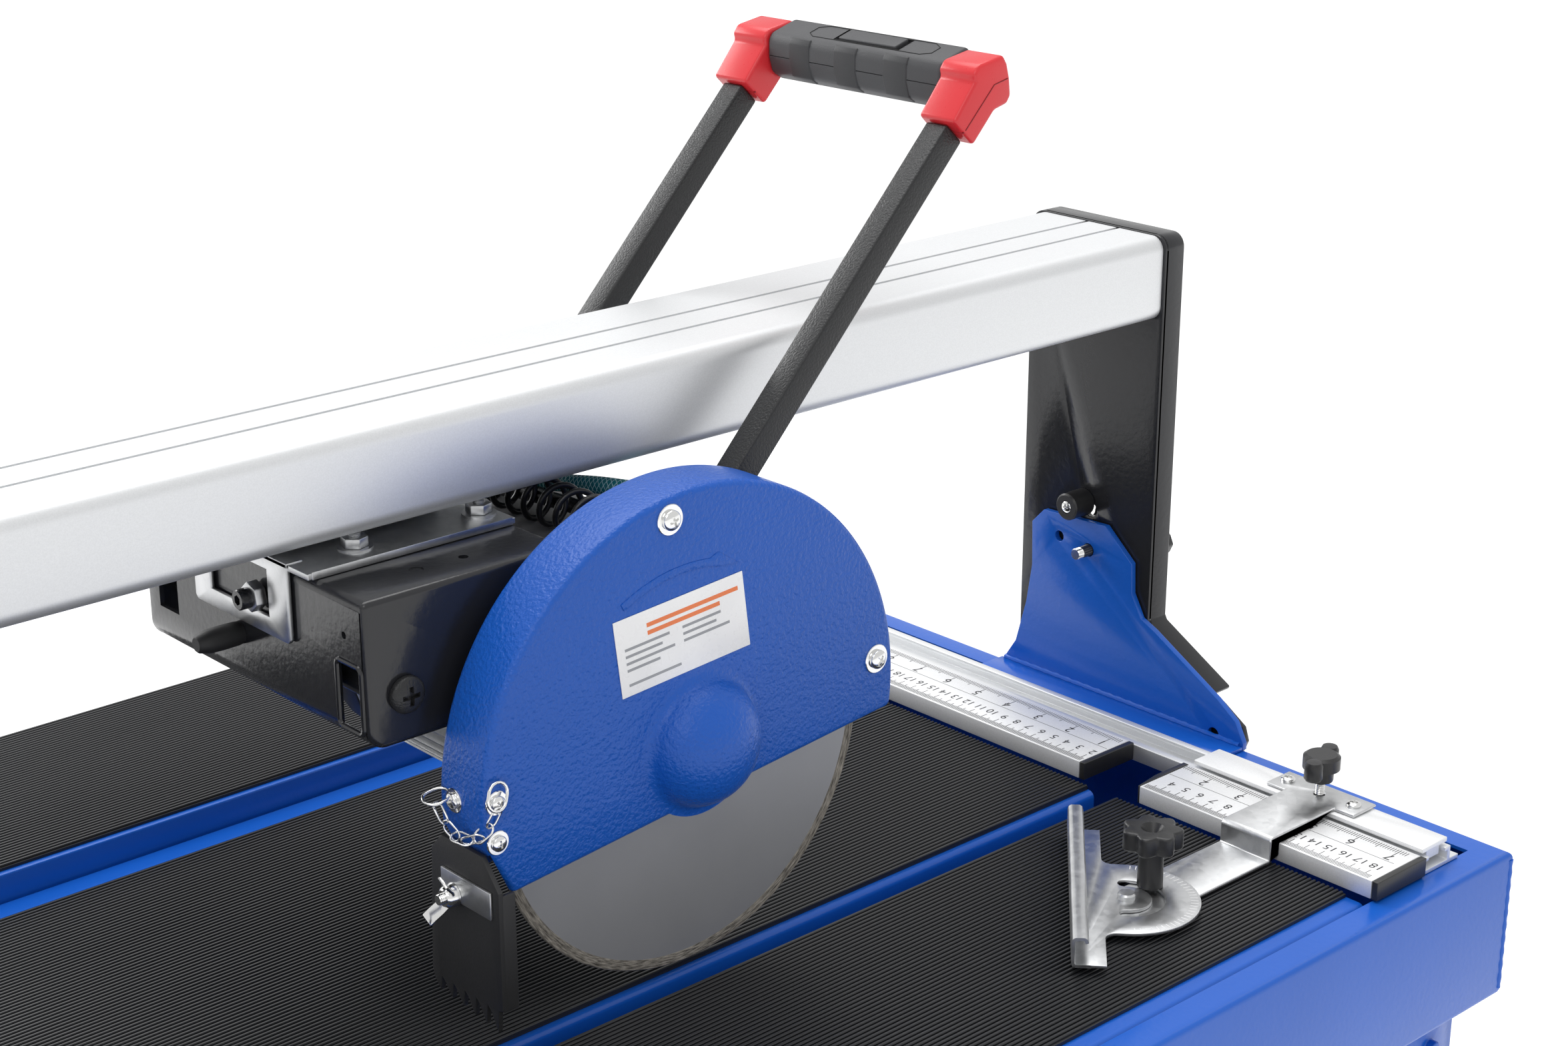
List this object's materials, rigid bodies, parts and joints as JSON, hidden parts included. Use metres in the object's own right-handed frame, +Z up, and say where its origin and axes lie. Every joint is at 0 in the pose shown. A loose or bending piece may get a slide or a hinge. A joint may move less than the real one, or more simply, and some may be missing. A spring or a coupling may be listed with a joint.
{
  "type": "wet tile saw",
  "caption": "Bridge tile saw: blue tub on folding legs, tilting rail, rolling plunge head with blade, guard, motor and loop handle, mats, rulers and mitre gauge.",
  "frame": {"origin": "on the floor under the middle of the whole saw's footprint", "axes": "+X along the rail to the operator's right, +Y from the operator to the back, +Z up"},
  "size_m": [1.336, 0.685, 1.102],
  "materials": {
    "blue_paint": "gloss powder coat",
    "mat_rubber": "matt",
    "aluminium": "drawn and clear anodised",
    "black_plastic": "moulded",
    "black_paint": "gloss powder coat",
    "zinc_plate": "zinc plated",
    "steel": "ground",
    "cast_alloy": "sand-textured casting",
    "grey_paint": "satin",
    "red_plastic": "moulded",
    "cord_sheath": "smooth"
  },
  "bodies": {
    "frame": {"tub_frame": "blue_paint", "table_front": "blue_paint", "mat_front": "mat_rubber", "table_rear": "blue_paint", "mat_rear": "mat_rubber", "side_table": "blue_paint", "mat_side": "mat_rubber", "ruler_front": "aluminium", "ruler_rear": "aluminium", "ruler_cap_front_slot": "black_plastic", "ruler_cap_front_end": "black_plastic", "ruler_cap_rear_slot": "black_plastic", "end_rail": "aluminium", "end_bracket_right": "blue_paint", "end_bracket_left": "blue_paint", "mitre_bolt_right": "zinc_plate", "mitre_bolt_left": "zinc_plate", "leg_hanger_right": "blue_paint", "leg_hanger_left": "blue_paint"},
    "rail": {"beam": "aluminium", "upright_right": "black_paint", "upright_left": "black_paint", "mitre_stop_right": "black_plastic", "mitre_stop_left": "black_plastic"},
    "knob_right": {"lock_knob_right": "black_plastic"},
    "knob_left": {"lock_knob_left": "black_plastic"},
    "carriage": {"carriage_plate": "zinc_plate", "carriage_box": "black_paint", "plunge_pin": "black_paint"},
    "roller_left": {"roller_left": "steel"},
    "roller_right": {"roller_right": "steel"},
    "head": {"head_arm": "black_paint", "motor_housing": "cast_alloy", "motor_cap": "black_plastic", "terminal_box": "grey_paint", "blade_guard": "blue_paint", "handle_tube_front": "black_paint", "handle_tube_rear": "black_paint", "handle_corner_front": "red_plastic", "handle_corner_rear": "red_plastic", "grip": "mat_rubber", "curly_cord": "cord_sheath"},
    "spindle": {"rotor": "steel", "blade": "steel", "arbor_nut": "zinc_plate"},
    "lever": {"switch_lever": "black_plastic"},
    "flap": {"splash_flap": "mat_rubber"},
    "wing_nut": {"wing_nut": "zinc_plate"},
    "legs_right": {"leg_frame_right": "blue_paint", "foot_right_front": "mat_rubber", "foot_right_rear": "mat_rubber"},
    "legs_left": {"leg_frame_left": "blue_paint", "foot_left_front": "mat_rubber", "foot_left_rear": "mat_rubber"},
    "gauge": {"gauge_slider": "aluminium", "gauge_bridge": "zinc_plate"},
    "thumb_knob": {"thumb_knob": "black_plastic"},
    "protractor": {"protractor": "zinc_plate"},
    "gauge_knob": {"gauge_knob": "black_plastic"},
    "drain_plug": {"drain_plug": "black_plastic"}
  },
  "joints": [
    {"name": "mitre_tilt", "type": "hinge", "parent": "frame", "child": "rail", "pos_m": [0, -0.1245, 0.675], "axis": [-1, 0, 0], "range_deg": [-45, 0]},
    {"name": "lock_knob_right_turn", "type": "hinge", "parent": "frame", "child": "knob_right", "pos_m": [0.6255, -0.0205, 0.765], "axis": [1, 0, 0], "range_deg": [0, 180]},
    {"name": "lock_knob_left_turn", "type": "hinge", "parent": "frame", "child": "knob_left", "pos_m": [-0.6255, -0.0205, 0.765], "axis": [-1, 0, 0], "range_deg": [0, 180]},
    {"name": "carriage_slide", "type": "slide", "parent": "rail", "child": "carriage", "axis": [1, 0, 0], "range_m": [-0.64, 0.27]},
    {"name": "roller_left_spin", "type": "hinge", "parent": "carriage", "child": "roller_left", "pos_m": [0.062, -0.0145, 0.9353], "axis": [0, 1, 0], "continuous": true},
    {"name": "roller_right_spin", "type": "hinge", "parent": "carriage", "child": "roller_right", "pos_m": [0.13, -0.0145, 0.9353], "axis": [0, 1, 0], "continuous": true},
    {"name": "plunge", "type": "hinge", "parent": "carriage", "child": "head", "pos_m": [0.06, -0.0145, 0.856], "axis": [0, 1, 0], "range_deg": [0, 9.5], "deforming": ["curly_cord"]},
    {"name": "blade_spin", "type": "hinge", "parent": "head", "child": "spindle", "pos_m": [0.205, -0.1245, 0.793], "axis": [0, 1, 0], "continuous": true},
    {"name": "switch_lever_rock", "type": "hinge", "parent": "head", "child": "lever", "pos_m": [0.44043, -0.0165, 1.10074], "axis": [0, 1, 0], "range_deg": [0, 6], "stiffness_Nm_per_rad": 0.5},
    {"name": "splash_flap_slide", "type": "slide", "parent": "head", "child": "flap", "axis": [0, 0, 1], "range_m": [-0.01, 0]},
    {"name": "wing_nut_turn", "type": "hinge", "parent": "flap", "child": "wing_nut", "pos_m": [0.0705, -0.1205, 0.759], "axis": [-1, 0, 0], "range_deg": [0, 180]},
    {"name": "legs_right_fold", "type": "hinge", "parent": "frame", "child": "legs_right", "pos_m": [0.585, -0.0775, 0.557], "axis": [0, 1, 0], "range_deg": [0, 90]},
    {"name": "legs_left_fold", "type": "hinge", "parent": "frame", "child": "legs_left", "pos_m": [-0.585, -0.0775, 0.557], "axis": [0, -1, 0], "range_deg": [0, 90]},
    {"name": "gauge_slide", "type": "slide", "parent": "frame", "child": "gauge", "axis": [0, 1, 0], "range_m": [-0.1, 0.02]},
    {"name": "thumb_knob_turn", "type": "hinge", "parent": "gauge", "child": "thumb_knob", "pos_m": [0.576, -0.235, 0.683], "axis": [0, 0, 1], "range_deg": [0, 180]},
    {"name": "protractor_swivel", "type": "hinge", "parent": "gauge", "child": "protractor", "pos_m": [0.417, -0.2305, 0.675], "axis": [0, 0, 1], "range_deg": [-42.5, 47.5]},
    {"name": "gauge_knob_turn", "type": "hinge", "parent": "gauge", "child": "gauge_knob", "pos_m": [0.437, -0.2295, 0.692], "axis": [0, 0, 1], "range_deg": [0, 180]},
    {"name": "drain_plug_pull", "type": "slide", "parent": "frame", "child": "drain_plug", "axis": [0, -1, 0], "range_m": [0, 0.012]}
  ],
  "couplings": [
    {"joint": "roller_left_spin", "follows": "carriage_slide", "rad_per_m": 76.923},
    {"joint": "roller_right_spin", "follows": "carriage_slide", "rad_per_m": 76.923}
  ]
}
